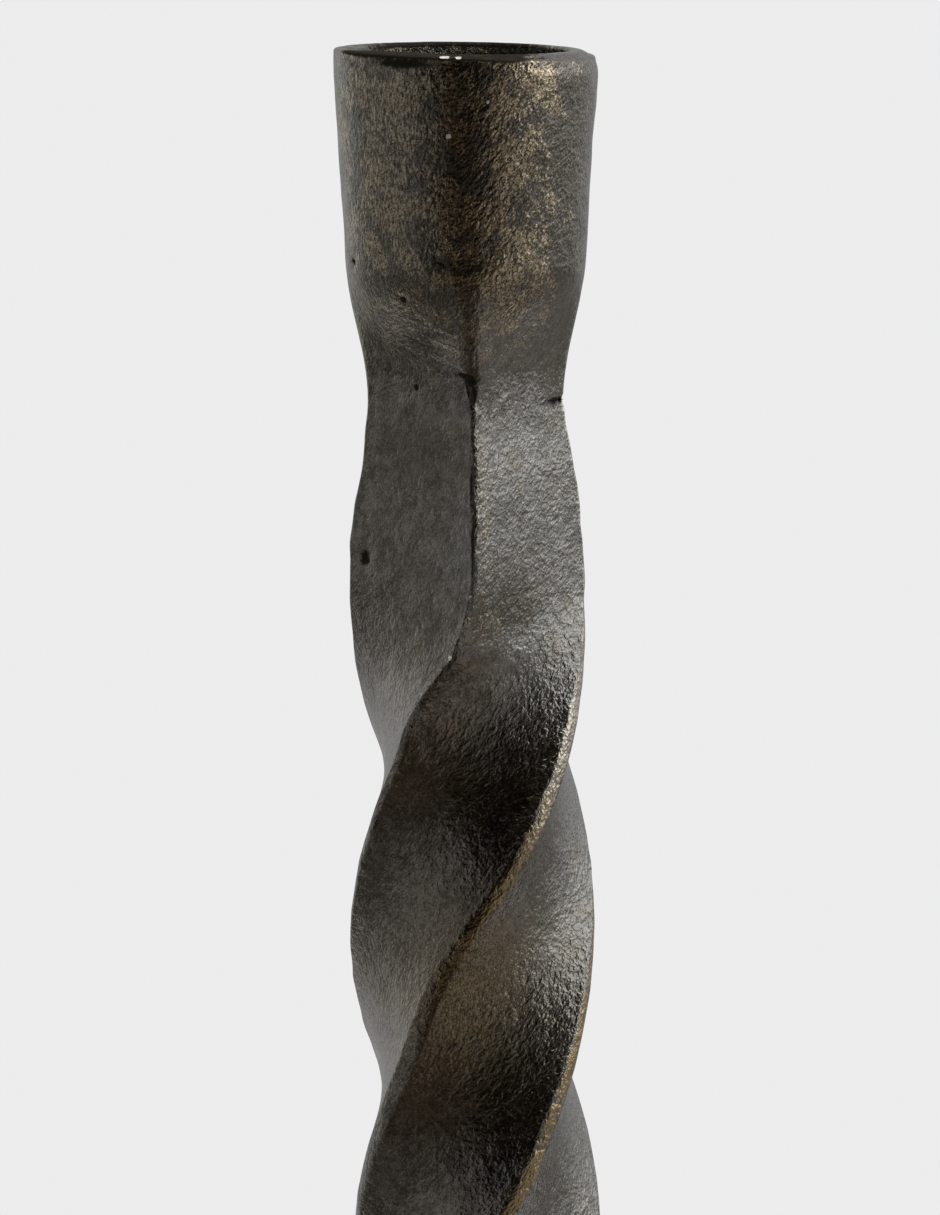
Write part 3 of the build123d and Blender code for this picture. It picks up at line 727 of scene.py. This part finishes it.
def castFinish(name):
    material = bpy.data.materials.new(name)
    tree = Nodes(material)
    place = tree.add("ShaderNodeTexCoord", None, None, "Object")
    split = tree.add("ShaderNodeSeparateXYZ", None, {0: place}).socket.node.outputs
    across, height = Wire(tree, split["X"]), Wire(tree, split["Z"])
    marks = "ridge", "stain", "inside", "bare", "gilt", "film", "dull"
    ridge, stain, inside, bare, gilt, film, dull = map(tree.attribute, marks)
    patch = tree.noise(place, bronze["patchSize"], 2)
    cloud = tree.noise(place, bronze["cloudSize"], 5, 0.68)
    mottle = tree.noise(place, bronze["mottleSize"], 3, 0.6)
    grain = tree.noise(place, bronze["grainSize"], 2, 0.6)
    upright = tree.noise(tree.stretch(place, bronze["uprightStretch"]), bronze["uprightSize"], 2, 0.6)
    slanted = tree.noise(tree.stretch(place, bronze["slantedStretch"], bronze["slant"]), bronze["slantedSize"], 2, 0.6)
    along = tree.stretch(place, bronze["dentStretch"], bronze["slant"])
    large, small = (tree.noise(along, size, 1, 0.4, 0.5) for size in bronze["dentSizes"])
    dents = large * bronze["dentShares"][0] + small * bronze["dentShares"][1]
    # the right, towards the lamp, is painted lighter and greyer as a painted light side, the left darker and browner;
    # the right is also coarser
    twisted = tree.band(height, *bronze["twistFrom"])
    side = tree.band(across - twisted * 0.005 + (patch - 0.5) * 0.02, *bronze["greySide"])
    stroke = upright + (slanted - upright) * side
    tone = tree.band(mottle * 0.25 + dents * 0.35 + grain * 0.4, 0.4, 0.6)
    speck = tree.band(stroke * 0.5 + grain * 0.5, 0.38, 0.64)
    shadedLeftMix = tree.paint(tone, bronze["earth"], bronze["clay"])
    litRightMix = tree.paint(tone, bronze["dark"], bronze["grey"])
    colour = tree.paint(side, shadedLeftMix, litRightMix)
    colour = tree.paint(tree.band(cloud, 0.52, 0.68) * 0.35, colour, bronze["brown"])
    # dull marks darken the colour: patches on the stem, and a painted shade on the cup's lower left
    colour = tree.paint(tree.band(dull + (cloud - 0.5), 0.1, 0.8) * 0.6, colour, bronze["dull"])
    # the cup: ragged clouds of gold on slate grey, none at its right edge
    onCup = tree.band(height + (mottle - 0.5) * 0.02, *bronze["cupFrom"])
    leftward = tree.band(across, *bronze["lessGold"])
    ragged = cloud + (stroke - 0.5) * 0.25 + gilt * 0.16 - tree.band(across, *bronze["noGold"]) * 0.14
    goldMix = tree.paint(speck, bronze["umber"], bronze["gold"])
    slateMix = tree.paint(speck, bronze["slateDark"], bronze["slate"])
    cupMix = tree.paint(tree.band(ragged, 0.44, 0.58) * (1 - leftward * 0.45), slateMix, goldMix)
    colour = tree.paint(onCup * 0.95, colour, cupMix)
    # the stem: a brown film low down, single strokes of gold
    colour = tree.paint(film * 0.9, colour, tree.paint(speck, bronze["shade"], bronze["film"]))
    colour = tree.paint(tree.band(speck + gilt * 0.5, 0.8, 1.1) * gilt * (1 - onCup), colour, bronze["gold"])
    # corners rubbed pale, much paler on the right as a painted highlight on the lit side, brown and dull lower down
    low = tree.band(height, *bronze["lowFrom"])
    rubbed = ridge * (tree.band(across + low * 0.006, *bronze["paleSide"]) * 0.8 + 0.2) * (1 - low * 0.25)
    worn = tree.band(rubbed + (patch - 0.5) * 0.4 + (mottle - 0.5) * 0.6 + (dents - 0.5) * 1.4, 0.35, 0.8)
    colour = tree.paint(worn * 0.85, colour, tree.paint(low, bronze["rubbed"], bronze["rubbedLow"]))
    # the socket is wrinkled, with crests painted pale at the left as painted glints
    folded = tree.noise(place, bronze["wrinkleSize"], 2, 0.5, 1.0) - 0.5
    lines = tree.add("ShaderNodeMath", dict(operation="ABSOLUTE"), {0: folded})
    glintCrests = tree.band(lines, 0.07, 0.02) * inside * tree.band(across, *bronze["crestSide"])
    colour = tree.paint(inside * 0.95, colour, tree.paint(glintCrests, bronze["inside"], bronze["crest"]))
    # chips show bare metal, and their pale diffuse part is a painted glint
    chipsAndGlints = tree.band(bare + (dents - 0.5) * 0.8 + (grain - 0.5) * 0.4, 0.5, 0.65)
    colour = tree.paint(chipsAndGlints, colour, bronze["bare"])
    # sheen and relief
    rough = (mottle - 0.5) * 0.12 + (grain - 0.5) * 0.16 - inside * 0.05 + bronze["rough"]
    coarse = (side * 0.2 + ridge * 0.3 + 0.76) * (1 - onCup * 0.1)
    relief = dents * coarse * (mottle + 0.5) + grain * 0.05 + stroke * 0.05
    relief = relief + tree.band(lines, 0.09, 0.0) * inside * 0.8
    bump = tree.add("ShaderNodeBump", None, {"Strength": 1.0, "Distance": bronze["peel"], "Height": relief})
    # black crust in the flaws and in the socket, a painted shadow under the rim's lip and a land painted dark, all
    # without metal's sheen; chips turn pale here as painted glints
    flawsAndShade = tree.band(stain + (dents - 0.5) * 0.8 + (cloud - 0.5) * 0.5, 0.25, 0.6)
    crustShadeAndGlint = flawsAndShade * (1 - chipsAndGlints) * 0.95 + chipsAndGlints * 0.7
    crustShadeAndGlint = crustShadeAndGlint + inside * (1 - crustShadeAndGlint) * (1 - glintCrests) * 0.95
    colour = tree.paint(crustShadeAndGlint, colour, tree.paint(chipsAndGlints, bronze["crust"], bronze["crest"]))
    sockets = {"Base Color": colour, "Metallic": 1 - crustShadeAndGlint, "Roughness": rough}
    sockets |= {"Specular IOR Level": 0.0, "Normal": bump}
    tree.surface(tree.add("ShaderNodeBsdfPrincipled", None, sockets))
    return material


castBronze = castFinish("castBronze")
for piece in (stemPiece, cupPiece, footPiece):
    piece.data.materials.append(castBronze)

# pressed black felt: matted fibres
feltLook = dict(
    dark=(0.012, 0.012, 0.012, 1), light=(0.05, 0.049, 0.047, 1), fibre=0.25, clump=2.5, depth=0.0003,
    rough=0.95, sheen=0.3, sheenRough=0.5,
)
pressedFelt = bpy.data.materials.new("pressedFelt")
tree = Nodes(pressedFelt)
place = tree.add("ShaderNodeTexCoord", None, None, "Object")
fibres = tree.noise(tree.stretch(place, (1, 5, 1), (0, 0, 0.6)), feltLook["fibre"], 3, 0.6, 1.5)
crossed = tree.noise(tree.stretch(place, (5, 1, 1), (0, 0, 0.3)), feltLook["fibre"], 3, 0.6, 1.5)
clumps = tree.noise(place, feltLook["clump"], 3)
matted = fibres * 0.5 + crossed * 0.5
colour = tree.paint(tree.band(matted * 0.7 + clumps * 0.3, 0.35, 0.65), feltLook["dark"], feltLook["light"])
bump = tree.add("ShaderNodeBump", None, {"Strength": 0.8, "Distance": feltLook["depth"], "Height": matted})
sockets = {"Base Color": colour, "Roughness": feltLook["rough"], "Normal": bump}
sockets |= {"Sheen Weight": feltLook["sheen"], "Sheen Roughness": feltLook["sheenRough"]}
tree.surface(tree.add("ShaderNodeBsdfPrincipled", None, sockets))
feltPiece.data.materials.append(pressedFelt)

# zinc plated steel for the screws and washers
zinc = dict(
    bright=(0.62, 0.62, 0.63, 1), dull=(0.4, 0.4, 0.4, 1), yellow=(0.55, 0.5, 0.38, 1),
    cloud=2.0, line=0.8, depth=0.0001,
)
zincSteel = bpy.data.materials.new("zincSteel")
tree = Nodes(zincSteel)
place = tree.add("ShaderNodeTexCoord", None, None, "Object")
cloud = tree.noise(place, zinc["cloud"], 4, 0.6)
lines = tree.noise(tree.stretch(place, (1, 1, 0.17)), zinc["line"], 3)
colour = tree.paint(tree.band(cloud, 0.35, 0.65), zinc["dull"], zinc["bright"])
colour = tree.paint(tree.band(cloud * 0.5 + lines * 0.5, 0.52, 0.68) * 0.4, colour, zinc["yellow"])
bump = tree.add("ShaderNodeBump", None, {"Strength": 0.25, "Distance": zinc["depth"], "Height": lines})
sockets = {"Base Color": colour, "Metallic": 1.0, "Roughness": cloud * 0.25 + 0.25, "Normal": bump}
tree.surface(tree.add("ShaderNodeBsdfPrincipled", None, sockets))
for node in ("cup_screw", "foot_bolt", "plain_washer", "spring_washer"):
    frame["nodes"][node].data.materials.clear()
    frame["nodes"][node].data.materials.append(zincSteel)
print("materials ready")
